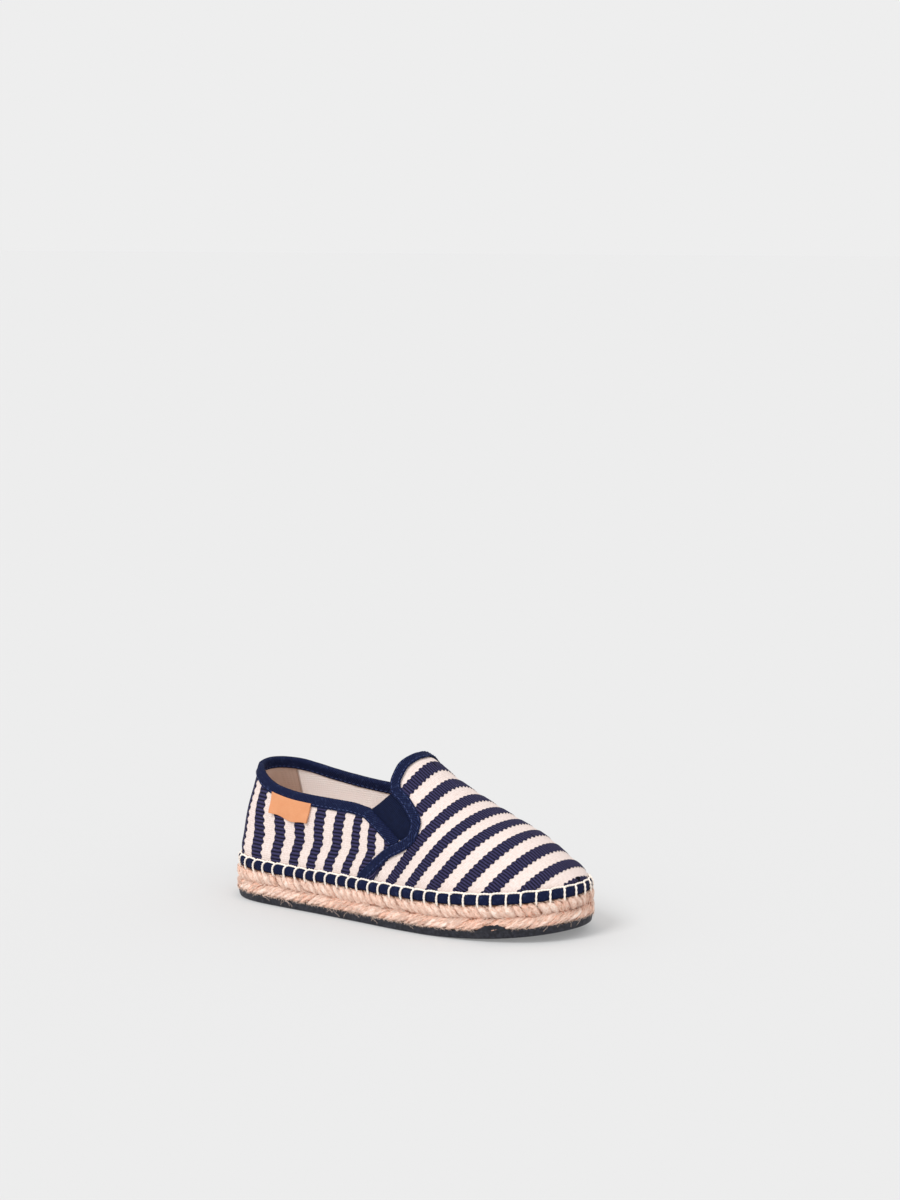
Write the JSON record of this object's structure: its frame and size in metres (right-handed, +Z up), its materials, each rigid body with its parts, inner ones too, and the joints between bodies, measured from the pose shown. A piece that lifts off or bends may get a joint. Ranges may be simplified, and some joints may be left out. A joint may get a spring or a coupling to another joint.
{
  "type": "espadrille",
  "caption": "Slip-on canvas espadrille for a child's right foot: striped upper with two elastic gores, bound edges, stitched band, braided jute sole and thin rubber outsole.",
  "frame": {"origin": "on the floor under the outsole, at the middle of the shoe's own box", "axes": "+X to the toe, +Y to the inner side of the foot, +Z up"},
  "size_m": [0.2052, 0.0794, 0.0839],
  "materials": {
    "rubber": "matte, dark grey, nearly black",
    "jute": "coarse braided plant fibre, undyed, hairy",
    "insole_cloth": "plain weave over the jute, matte",
    "canvas": "cream canvas with raised navy stripes, matte",
    "navy_tape": "cotton twill tape, matte",
    "elastic": "fine ribbed elastic, matte",
    "tag_leather": "natural tan leather, satin"
  },
  "bodies": {
    "root": {"outsole": "rubber", "jute_sole": "jute", "insole": "insole_cloth", "welt_band": "navy_tape", "upper": "canvas", "gore_outer": "elastic", "gore_inner": "elastic", "vamp_binding": "navy_tape", "collar_binding": "navy_tape", "leather_tag": "tag_leather"}
  },
  "joints": []
}
